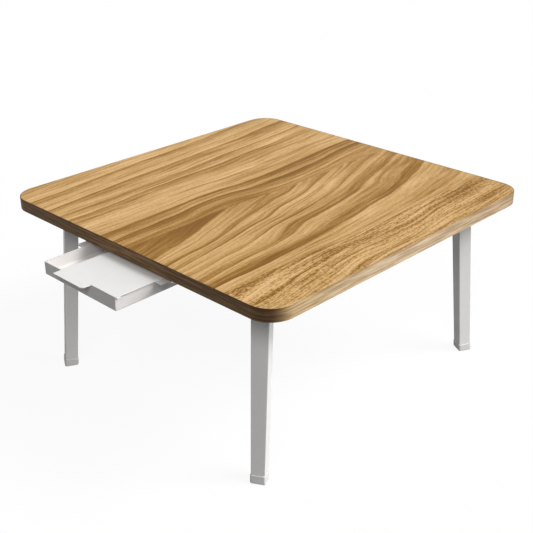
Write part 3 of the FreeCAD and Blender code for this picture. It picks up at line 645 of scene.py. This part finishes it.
def grown_mesh(tree, values, seed_mesh=None):
    """The mesh that a geometry tree makes from its input values."""
    grower = carrier_of(seed_mesh or bpy.data.meshes.new("grower"))
    modifier = grower.modifiers.new("shape", "NODES")
    modifier.node_group = tree
    for item in tree.interface.items_tree:
        if item.item_type == "SOCKET" and item.in_out == "INPUT" and item.name in values:
            modifier[item.identifier] = values[item.name]
    return sound_mesh(taken_mesh(grower))


def shape_tree(name, sizes):
    """A geometry tree with a named input for each size, its wiring and those inputs."""
    inputs = {"Geometry": (GEOMETRY, None)}
    inputs.update({size: (FLOAT, 0.0) for size in sizes})
    tree, t = new_tree(name, "GeometryNodeTree", inputs, {"Geometry": GEOMETRY})
    return tree, t, t.add("NodeGroupInput").outputs


def end_shape(t, geometry, slot):
    """Close a geometry tree: real mesh, with its finish."""
    real = t.add("GeometryNodeRealizeInstances", {"Geometry": geometry})
    finish = t.add("GeometryNodeSetMaterial", {"Geometry": real, "Material": FINISHES[slot]})
    t.feed(t.add("NodeGroupOutput").inputs["Geometry"], finish)


def rounded_outline(t, length, depth, radius, steps):
    """A rectangle with round corners as a curve about the origin."""
    sides = t.add("GeometryNodeCurvePrimitiveQuadrilateral", {"Width": length, "Height": depth})
    inputs = {"Curve": sides, "Radius": radius, "Count": steps}
    return t.add("GeometryNodeFilletCurve", inputs, mode="POLY")


def prism(t, outline, height, base):
    """A closed solid from a flat outline: its floor, its sides and its top."""
    floor = t.add("GeometryNodeFillCurve", {"Curve": outline}, mode="NGONS")
    raised = t.add("GeometryNodeExtrudeMesh", {
        "Mesh": floor, "Offset": t.vector(0.0, 0.0, 1.0), "Offset Scale": height, "Individual": False,
    })
    both = t.add("GeometryNodeJoinGeometry", {"Geometry": raised})
    t.feed(both.inputs["Geometry"], t.add("GeometryNodeFlipFaces", {"Mesh": floor}))
    whole = t.add("GeometryNodeMergeByDistance", {"Geometry": both, "Distance": SAME_POINT})
    return t.add("GeometryNodeTransform", {"Geometry": whole, "Translation": t.vector(0.0, 0.0, base)})


def board_tree():
    """A flat sheet with round corners."""
    tree, t, size = shape_tree("board", ("Length", "Depth", "Radius", "Thickness", "Base"))
    outline = rounded_outline(t, size["Length"], size["Depth"], size["Radius"], CORNER_STEPS)
    end_shape(t, prism(t, outline, size["Thickness"], size["Base"]), "wood_grain_laminate")
    return tree


def band_tree():
    """A strip with broken edges, run round the outline of the top."""
    tree, t, size = shape_tree("band", ("Length", "Depth", "Radius", "Thickness", "Height", "Middle"))
    outline = rounded_outline(t, size["Length"], size["Depth"], size["Radius"], CORNER_STEPS)
    level = t.add("GeometryNodeSetCurveNormal", {"Curve": outline}, mode="Z_UP")
    section = rounded_outline(t, size["Thickness"], size["Height"], BAND_EDGE_RADIUS, BAND_EDGE_STEPS)
    strip = t.add("GeometryNodeCurveToMesh", {"Curve": level, "Profile Curve": section})
    lift = t.vector(0.0, 0.0, size["Middle"])
    lifted = t.add("GeometryNodeTransform", {"Geometry": strip, "Translation": lift})
    end_shape(t, lifted, "wood_grain_band")
    return tree


def make_top():
    """The laminate and the edge strip of the top."""
    low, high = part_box("edge_band")
    length, depth, height = high - low
    sheet_low, sheet_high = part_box("top_laminate")
    inset = BAND_THICKNESS * 2
    board = grown_mesh(board_tree(), {
        "Length": length - inset, "Depth": depth - inset, "Radius": CORNER_RADIUS - BAND_THICKNESS,
        "Thickness": sheet_high.z - sheet_low.z, "Base": sheet_low.z,
    })
    new_piece("wood_top", board, "table_top", "wood_grain_laminate", ["top_laminate"])
    band = grown_mesh(band_tree(), {
        "Length": length - BAND_THICKNESS, "Depth": depth - BAND_THICKNESS,
        "Radius": CORNER_RADIUS - BAND_THICKNESS / 2, "Thickness": BAND_THICKNESS,
        "Height": height, "Middle": (low.z + high.z) / 2,
    })
    new_piece("edge_strip", band, "table_top", "wood_grain_band", ["edge_band"])


def leg_joints():
    """For each leg, its corner's name and the place of its pivot with the leg's lean."""
    corners = {}
    for joint in frame["joints"]:
        if joint["type"] != "hinge":
            continue
        corner = joint["child"].removeprefix("leg_")
        across = Vector(joint["axis"])
        heading = math.atan2(-across.x, across.y)
        splay = math.radians(joint["range_deg"][1] - 90)
        place = Matrix.Translation(joint["pos_m"]) @ Matrix.Rotation(heading, 4, "Z")
        corners[corner] = (place, splay)
    return corners


LEGS = leg_joints()
PIVOT_HEIGHT = frame["joints"][0]["pos_m"][2]
SPLAY = next(iter(LEGS.values()))[1]
LEG_REACH = PIVOT_HEIGHT / math.cos(SPLAY)
TUBE_END = LEG_REACH - CAP_FLOOR


def leg_size_at(down, head, foot):
    """A depth or width of the tapered tube, at a distance below the pivot."""
    return head + (foot - head) * (down + LEG_HEAD_RISE) / (TUBE_END + LEG_HEAD_RISE)


# The bracket's ears inside the tube, and the slot and pin that fit them
EAR_RADIUS = leg_size_at(0.0, LEG_HEAD_DEPTH, LEG_FOOT_DEPTH) / 2 - LEG_WALL - RUNNING_CLEARANCE
EAR_SPAN = leg_size_at(EAR_RADIUS, LEG_HEAD_WIDTH, LEG_FOOT_WIDTH) - 2 * (LEG_WALL + RUNNING_CLEARANCE)
SLOT_WIDTH = EAR_SPAN + RUNNING_CLEARANCE
SLOT_DROP = EAR_RADIUS + SLOT_MARGIN
PIN_HALF_SPAN = leg_size_at(0.0, LEG_HEAD_WIDTH, LEG_FOOT_WIDTH) / 2 + RUNNING_CLEARANCE


def leaning(corner):
    """The leaning axes of a leg, from its pivot: X outwards and Z up the leg."""
    place, splay = LEGS[corner]
    return place @ Matrix.Rotation(-splay, 4, "Y")


def tapered(t, size, inset, beyond):
    """A prism whose corners draw in towards the foot, set in all round and run on past both ends."""
    twice = t.times(inset, 2.0)
    outline = rounded_outline(
        t, t.minus(size["Head Depth"], twice), t.minus(size["Head Width"], twice),
        t.minus(size["Corner Radius"], inset), LEG_CORNER_STEPS)
    length = t.plus(size["Rise"], size["Drop"])
    base = t.minus(-beyond, size["Drop"])
    block = prism(t, outline, t.plus(length, 2 * beyond), base)
    x, y, z = t.axes(t.add("GeometryNodeInputPosition"))
    down = t.over(t.minus(size["Rise"], z), length)
    drawn = []
    for across, head, foot in ((x, "Head Depth", "Foot Depth"), (y, "Head Width", "Foot Width")):
        step = t.times(t.minus(size[foot], size[head]), 0.5)
        drawn.append(t.times(t.times(t.math("SIGN", across), step), down))
    return t.add("GeometryNodeSetPosition", {"Geometry": block, "Offset": t.vector(*drawn)})


def leg_tree():
    """A tapered tube, slotted on its inner side at the head and bored for its pin."""
    sizes = ("Head Depth", "Head Width", "Foot Depth", "Foot Width", "Corner Radius", "Wall",
             "Rise", "Drop", "Slot Width", "Slot Drop", "Bore Radius")
    tree, t, size = shape_tree("leg tube", sizes)
    outside = tapered(t, size, 0.0, 0.0)
    inside = tapered(t, size, size["Wall"], CUTTER_OVERRUN)
    slot_top = t.times(size["Rise"], 2.0)
    slot_height = t.plus(slot_top, size["Slot Drop"])
    slot_size = t.vector(size["Head Depth"], size["Slot Width"], slot_height)
    slot_middle = t.times(t.minus(slot_top, size["Slot Drop"]), 0.5)
    slot = t.add("GeometryNodeTransform", {
        "Geometry": t.add("GeometryNodeMeshCube", {"Size": slot_size}),
        "Translation": t.vector(t.times(size["Head Depth"], -0.5), 0.0, slot_middle),
    })
    bore_length = t.times(size["Head Width"], 2.0)
    bore = t.add("GeometryNodeTransform", {
        "Geometry": t.add("GeometryNodeMeshCylinder", {
            "Vertices": PIN_SIDES, "Radius": size["Bore Radius"], "Depth": bore_length}),
        "Rotation": (math.pi / 2, 0.0, 0.0),
    })
    cut = t.add("GeometryNodeMeshBoolean", operation="DIFFERENCE", solver="EXACT")
    t.feed(cut.inputs["Mesh 1"], outside)
    for tool in (inside, slot, bore):
        t.feed(cut.inputs["Mesh 2"], tool)
    end_shape(t, cut, "white_paint")
    return tree


def make_legs():
    """The four tubes."""
    tree = leg_tree()
    values = {
        "Head Depth": LEG_HEAD_DEPTH, "Head Width": LEG_HEAD_WIDTH, "Foot Depth": LEG_FOOT_DEPTH,
        "Foot Width": LEG_FOOT_WIDTH, "Corner Radius": LEG_CORNER_RADIUS, "Wall": LEG_WALL,
        "Rise": LEG_HEAD_RISE, "Drop": TUBE_END, "Slot Width": SLOT_WIDTH,
        "Slot Drop": SLOT_DROP, "Bore Radius": PIN_BORE_RADIUS,
    }
    for corner in LEGS:
        mesh = grown_mesh(tree, values)
        mesh.transform(leaning(corner))
        new_piece(f"leg_{corner}.tube", mesh, f"leg_{corner}", "white_paint", [f"leg_tube_{corner}"])


def rounded_ring(depth, width, radius, height):
    """Points round a rectangle with round corners; height is a number, or a function of x."""
    points = []
    for quarter, (side_x, side_y) in enumerate(((1, 1), (-1, 1), (-1, -1), (1, -1))):
        for step in range(LEG_CORNER_STEPS + 1):
            turn = math.pi / 2 * (quarter + step / LEG_CORNER_STEPS)
            x = side_x * (depth / 2 - radius) + radius * math.cos(turn)
            y = side_y * (width / 2 - radius) + radius * math.sin(turn)
            points.append(Vector((x, y, height(x) if callable(height) else height)))
    return points


def lofted(name, rings):
    """A closed mesh through rings of points, capped at both ends."""
    work = bmesh.new()
    loops = [[work.verts.new(point) for point in ring] for ring in rings]
    count = len(rings[0])
    for first, second in zip(loops, loops[1:]):
        for index in range(count):
            following = (index + 1) % count
            work.faces.new((first[index], first[following], second[following], second[index]))
    work.faces.new(loops[0][::-1])
    work.faces.new(loops[-1])
    mesh = bpy.data.meshes.new(name)
    work.to_mesh(mesh)
    work.free()
    return sound_mesh(mesh)


def quarter_round(radius, steps):
    """A quarter circle between two faces, as pairs of how far it keeps from one and from the other."""
    turns = [math.pi / 2 * step / steps for step in range(steps + 1)]
    return [(radius * (1 - math.sin(turn)), radius * (1 - math.cos(turn))) for turn in turns]


def make_foot_caps():
    """Plastic cups on the feet, level with the floor and rounded underneath."""
    mouth = CAP_GRIP - TUBE_END
    depth = leg_size_at(-mouth, LEG_HEAD_DEPTH, LEG_FOOT_DEPTH) + 2 * CAP_SEAT
    width = leg_size_at(-mouth, LEG_HEAD_WIDTH, LEG_FOOT_WIDTH) + 2 * CAP_SEAT
    radius = LEG_CORNER_RADIUS + CAP_SEAT

    def outer(inset, height):
        grown = 2 * (CAP_WALL - inset)
        return rounded_ring(depth + grown, width + grown, CAP_CORNER_RADIUS - inset, height)

    def above_floor(lift):
        return lambda x: -LEG_REACH - x * math.tan(SPLAY) + lift

    rings = [rounded_ring(depth, width, radius, -TUBE_END), rounded_ring(depth, width, radius, mouth)]
    for inset, drop in quarter_round(CAP_RIM_RADIUS, CAP_RIM_STEPS):
        rings.append(outer(inset, mouth - drop))
    for lift, inset in quarter_round(CAP_EDGE_RADIUS, CAP_EDGE_STEPS):
        rings.append(outer(inset, above_floor(lift)))
    for corner in LEGS:
        mesh = lofted("foot_cap", rings)
        mesh.transform(leaning(corner))
        new_piece(f"leg_{corner}.cap", mesh, f"leg_{corner}", "pale_plastic", [f"foot_cap_{corner}"])


def seats_of(node):
    """Where the screws of a node sit: the middle of each one's head, and the height of its underside."""
    clusters = []
    for vertex in frame["nodes"][node].data.vertices:
        spot = vertex.co
        for cluster in clusters:
            if (cluster[0].xy - spot.xy).length < SCREW_GAP:
                cluster.append(spot.copy())
                break
        else:
            clusters.append([spot.copy()])
    seats = []
    for cluster in clusters:
        xs = [spot.x for spot in cluster]
        ys = [spot.y for spot in cluster]
        seat = min(spot.z for spot in cluster) + SCREW_HEAD_HEIGHT
        seats.append(Vector(((min(xs) + max(xs)) / 2, (min(ys) + max(ys)) / 2, seat)))
    return seats


def screw_tree():
    """A pan-head screw with a cross recess, point up, on every point and turned at random."""
    sizes = ("Head Radius", "Head Height", "Dome", "Shank Radius", "Length", "Point", "Recess Length",
             "Recess Width", "Recess Depth")
    tree, t, size = shape_tree("screws", sizes)
    head = t.add("GeometryNodeMeshCylinder", {
        "Vertices": SCREW_SIDES, "Fill Segments": 4,
        "Radius": size["Head Radius"], "Depth": size["Head Height"],
    })
    x, y, z = t.axes(t.add("GeometryNodeInputPosition"))
    out = t.over(t.plus(t.times(x, x), t.times(y, y)), t.times(size["Head Radius"], size["Head Radius"]))
    under = t.math("LESS_THAN", z, 0.0)
    dome = t.times(t.times(out, size["Dome"]), under)
    domed = t.add("GeometryNodeSetPosition", {"Geometry": head, "Offset": t.vector(0.0, 0.0, dome)})
    half_head = t.times(size["Head Height"], -0.5)
    hung = t.add("GeometryNodeTransform", {
        "Geometry": domed, "Translation": t.vector(0.0, 0.0, half_head)})
    straight = t.minus(size["Length"], size["Point"])
    shank = t.add("GeometryNodeTransform", {
        "Geometry": t.add("GeometryNodeMeshCylinder", {
            "Vertices": SCREW_SIDES, "Radius": size["Shank Radius"], "Depth": straight}),
        "Translation": t.vector(0.0, 0.0, t.minus(t.times(straight, 0.5), SCREW_OVERLAP)),
    })
    point = t.add("GeometryNodeTransform", {
        "Geometry": t.add("GeometryNodeMeshCone", {
            "Vertices": SCREW_SIDES, "Radius Top": 0.0, "Radius Bottom": size["Shank Radius"],
            "Depth": size["Point"]}),
        "Translation": t.vector(0.0, 0.0, t.minus(straight, 2 * SCREW_OVERLAP)),
    })
    whole = t.add("GeometryNodeMeshBoolean", operation="UNION", solver="EXACT")
    for part in (hung, shank, point):
        t.feed(whole.inputs["Mesh 2"], part)
    recess = t.add("GeometryNodeMeshBoolean", operation="DIFFERENCE", solver="EXACT")
    t.feed(recess.inputs["Mesh 1"], whole)
    double = t.times(size["Recess Depth"], 2.0)
    floor = t.vector(0.0, 0.0, t.times(size["Head Height"], -1.0))
    for along, across in (("Recess Length", "Recess Width"), ("Recess Width", "Recess Length")):
        bar = t.add("GeometryNodeMeshCube", {"Size": t.vector(size[along], size[across], double)})
        sunk = t.add("GeometryNodeTransform", {"Geometry": bar, "Translation": floor})
        t.feed(recess.inputs["Mesh 2"], sunk)
    turns = t.add("FunctionNodeRandomValue", {"Seed": SCREW_SEED}, data_type="FLOAT_VECTOR")
    turns.inputs[0].default_value = (0.0, 0.0, 0.0)
    turns.inputs[1].default_value = (0.0, 0.0, math.pi)
    points = t.add("GeometryNodeMeshToPoints", {"Mesh": size["Geometry"]})
    set_out = t.add("GeometryNodeInstanceOnPoints", {
        "Points": points, "Instance": recess, "Rotation": turns.outputs[0],
    })
    end_shape(t, set_out, "bright_steel")
    return tree


def make_screws():
    """The screws of the brackets and of the drawer's rails."""
    tree = screw_tree()
    values = {
        "Head Radius": SCREW_HEAD_RADIUS, "Head Height": SCREW_HEAD_HEIGHT, "Dome": SCREW_DOME,
        "Shank Radius": SCREW_RADIUS, "Length": SCREW_LENGTH, "Point": SCREW_POINT,
        "Recess Length": RECESS_LENGTH, "Recess Width": RECESS_WIDTH, "Recess Depth": RECESS_DEPTH,
    }
    for node in ("bracket_screws", "rail_screws"):
        seats = bpy.data.meshes.new(node + "_seats")
        seats.from_pydata(seats_of(node), [], [])
        mesh = grown_mesh(tree, values, seats)
        new_piece(f"{node}.driven", mesh, "table_top", "bright_steel", [node])


def make_hinge_pins():
    """Turned pins with low domed heads at both ends."""
    end = PIN_HALF_SPAN + PIN_HEAD_HEIGHT
    half = [(PIN_HEAD_RADIUS * share, end - drop) for share, drop in PIN_CROWN]
    half += [(PIN_HEAD_RADIUS, PIN_HALF_SPAN), (PIN_RADIUS, PIN_HALF_SPAN)]
    profile = half + [(radius, -height) for radius, height in reversed(half)]
    for corner in LEGS:
        work = bmesh.new()
        points = [work.verts.new((radius, along, 0.0)) for radius, along in profile]
        lines = [work.edges.new(pair) for pair in zip(points, points[1:])]
        bmesh.ops.spin(work, geom=points + lines, axis=(0, 1, 0), cent=(0, 0, 0), steps=PIN_SIDES,
                       angle=2 * math.pi)
        mesh = bpy.data.meshes.new("hinge_pin")
        work.to_mesh(mesh)
        work.free()
        mesh = sound_mesh(mesh)
        mesh.transform(leaning(corner))
        new_piece(f"hinge_pin_{corner}.turned", mesh, "table_top", "bright_steel", [f"hinge_pin_{corner}"])


def broken_edges(node, name, body, slot, edge, finish=None):
    """A copy of a solid with its flat faces made whole, sharp edges broken and round faces smooth."""
    mesh = frame["nodes"][node].data.copy()
    work = bmesh.new()
    work.from_mesh(mesh)
    bmesh.ops.remove_doubles(work, verts=work.verts, dist=SAME_POINT)
    bmesh.ops.dissolve_limit(work, angle_limit=FLAT_ANGLE, verts=work.verts, edges=work.edges)
    work.to_mesh(mesh)
    work.free()
    carrier = carrier_of(mesh)
    bevel = carrier.modifiers.new("broken", "BEVEL")
    bevel.width, bevel.segments = edge
    bevel.limit_method = "ANGLE"
    bevel.angle_limit = BROKEN_ANGLE
    bevel.use_clamp_overlap = True
    new_piece(name, shaded(taken_mesh(carrier)), body, slot, [node], finish)


def make_drawer():
    """The moulded tray, its lid, and the rails that carry it."""
    # The tray takes the darker copy of the white plastic, which is painted shade
    broken_edges("drawer_tray", "drawer.tray", "drawer", "white_plastic", TRAY_EDGE, "tray_plastic_painted_shade")
    broken_edges("drawer_lid", "drawer.lid", "lid", "white_plastic", LID_EDGE)
    for side in ("left", "right"):
        node = f"drawer_rail_{side}"
        broken_edges(node, f"{node}.folded", "table_top", "plated_steel", RAIL_EDGE)


def make_hinges():
    """The pressed brackets, springs and moulded knuckles."""
    for corner in LEGS:
        broken_edges(f"leg_bracket_{corner}", f"hinge_{corner}.bracket", "table_top", "plated_steel",
                     BRACKET_EDGE)
        broken_edges(f"leaf_spring_{corner}", f"hinge_{corner}.spring", "table_top", "spring_steel",
                     SPRING_EDGE)
        broken_edges(f"leg_knuckle_{corner}", f"leg_{corner}.knuckle", f"leg_{corner}", "grey_nylon",
                     KNUCKLE_EDGE)


def dress_solids():
    """Finishes of the sheets that keep their plain solids."""
    for node, slot in (("tabletop_core", "fibreboard"), ("backing_sheet", "white_backing")):
        solid = frame["nodes"][node]
        solid.data.materials.clear()
        solid.data.materials.append(FINISHES[slot])


# Stage, light and camera


CAMERA_PLACE = (1.0314, -1.0508, 0.8937)
CAMERA_AZIMUTH = math.radians(44.57)
CAMERA_ELEVATION = math.radians(25.96)
CAMERA_ROLL = math.radians(-0.49)
CAMERA_LENS = 64.43
CAMERA_SENSOR = 36.0

FLOOR_SIDE = 12.0
FLOOR_DROP = 0.2 * MM
FLOOR_WHITE = grey(0.98)
FLOOR_BOUNCE = grey(0.15)
SHADOW_SHARE = 0.08
AMBIENT = 0.08

# Lamps: azimuth of each from +X towards +Y, its elevation, strength and width, and whether its glare shows
LAMPS = (
    ("key", 42, 44, 0.57, 20, True),
    ("side", 15, 42, 0.27, 25, True),
    ("low", 26, 14, 0.36, 25, True),
    ("front", -52, 42, 0.27, 25, True),
    ("back", 140, 12, 0.30, 60, False),
)
LAMP_DISTANCE = 3.0


def seen_directly(t):
    """1 for what the camera, a mirror or glass shows, and 0 for light that lands on a surface."""
    path = t.add("ShaderNodeLightPath").outputs
    most = t.math("MAXIMUM", path["Is Camera Ray"], path["Is Glossy Ray"])
    return t.math("MAXIMUM", most, path["Is Transmission Ray"])


def make_floor():
    """A plain white floor that keeps a faint shadow and throws little light back up."""
    mesh = bpy.data.meshes.new("floor")
    half = FLOOR_SIDE / 2
    corners = [(x, y, -FLOOR_DROP) for x, y in ((-half, -half), (half, -half), (half, half), (-half, half))]
    mesh.from_pydata(corners, [], [(0, 1, 2, 3)])
    material = bpy.data.materials.new("floor_white")
    material.use_nodes = True
    material.node_tree.nodes.clear()
    t = Wiring(material.node_tree)
    pale = t.add("ShaderNodeBsdfDiffuse", {"Color": FLOOR_WHITE})
    bright = t.add("ShaderNodeEmission", {"Color": grey(1.0), "Strength": 1.0})
    dim = t.add("ShaderNodeBsdfDiffuse", {"Color": FLOOR_BOUNCE})
    shown = t.add("ShaderNodeMixShader", {0: SHADOW_SHARE, 1: bright, 2: pale})
    both = t.add("ShaderNodeMixShader", {0: seen_directly(t), 1: dim, 2: shown})
    t.add("ShaderNodeOutputMaterial", {"Surface": both})
    mesh.materials.append(material)
    floor = bpy.data.objects.new("floor", mesh)
    bpy.context.scene.collection.objects.link(floor)


def make_world():
    """A dim even light, with a white backdrop where it is seen."""
    world = bpy.data.worlds.new("studio")
    bpy.context.scene.world = world
    world.use_nodes = True
    world.node_tree.nodes.clear()
    t = Wiring(world.node_tree)
    soft = t.add("ShaderNodeBackground", {"Color": grey(1.0), "Strength": AMBIENT})
    white = t.add("ShaderNodeBackground", {"Color": grey(1.0), "Strength": 1.0})
    both = t.add("ShaderNodeMixShader", {0: seen_directly(t), 1: soft, 2: white})
    t.add("ShaderNodeOutputWorld", {"Surface": both})


def make_lamp(name, azimuth, elevation, strength, spread, glare):
    """A broad even lamp that points at the table; angles are in degrees."""
    lamp = bpy.data.lights.new(name, "SUN")
    lamp.energy = strength * math.pi
    lamp.angle = math.radians(spread)
    turn, rise = math.radians(azimuth), math.radians(elevation)
    way = Vector((math.cos(turn) * math.cos(rise), math.sin(turn) * math.cos(rise), math.sin(rise)))
    holder = bpy.data.objects.new(name, lamp)
    holder.location = way * LAMP_DISTANCE
    holder.visible_glossy = glare
    holder.rotation_euler = way.to_track_quat("Z", "Y").to_euler()
    bpy.context.scene.collection.objects.link(holder)


def make_camera():
    """The view of the photograph."""
    sin_a, cos_a = math.sin(CAMERA_AZIMUTH), math.cos(CAMERA_AZIMUTH)
    sin_e, cos_e = math.sin(CAMERA_ELEVATION), math.cos(CAMERA_ELEVATION)
    back = Vector((sin_a * cos_e, -cos_a * cos_e, sin_e))
    right = Vector((cos_a, sin_a, 0.0))
    up = back.cross(right)
    turn = Matrix.Rotation(CAMERA_ROLL, 3, "Z")
    axes = Matrix((right, up, back)).transposed() @ turn
    data = bpy.data.cameras.new("camera")
    data.sensor_width = CAMERA_SENSOR
    data.lens = CAMERA_LENS
    camera = bpy.data.objects.new("camera", data)
    camera.matrix_world = Matrix.Translation(CAMERA_PLACE) @ axes.to_4x4()
    bpy.context.scene.collection.objects.link(camera)
    bpy.context.scene.camera = camera


make_top()
make_legs()
make_foot_caps()
make_hinges()
make_hinge_pins()
make_screws()
make_drawer()
dress_solids()
make_floor()
make_world()
for lamp_values in LAMPS:
    make_lamp(*lamp_values)
make_camera()
bpy.context.scene.view_settings.view_transform = "Standard"
